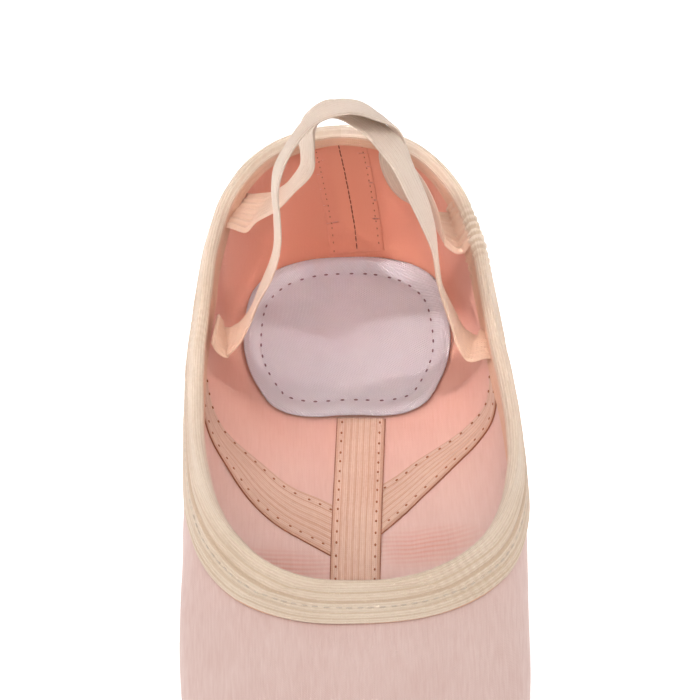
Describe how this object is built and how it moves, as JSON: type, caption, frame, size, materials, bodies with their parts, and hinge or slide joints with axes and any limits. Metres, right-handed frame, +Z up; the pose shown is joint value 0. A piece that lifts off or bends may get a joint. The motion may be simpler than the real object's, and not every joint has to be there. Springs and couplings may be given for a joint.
{
  "type": "split-sole ballet slipper",
  "caption": "Soft split-sole ballet slipper with a folded elastic collar and two crossed elastic straps over the instep.",
  "frame": {"origin": "middle of the slipper's footprint, on the surface it stands on", "axes": "+Y towards the heel along the slipper's length, the toe points along -Y, +Z up, +X to the right seen from the toe"},
  "size_m": [0.0844, 0.2285, 0.1051],
  "materials": {
    "canvas": "pale pink stretch canvas, matt",
    "elastic": "cream ribbed elastic, soft sheen",
    "tape": "tan ribbed seam tape, matt",
    "suede": "pink suede, matt",
    "lining": "lavender pink twill, matt"
  },
  "bodies": {
    "root": {"upper": "canvas", "topline_binding": "elastic", "strap_a": "elastic", "strap_b": "elastic", "seam_tape_center": "tape", "seam_tape_heel": "tape", "seam_tape_left": "tape", "seam_tape_right": "tape", "outsole_forefoot": "suede", "outsole_heel": "suede", "insole_forefoot": "lining", "insole_heel": "lining"}
  },
  "joints": []
}
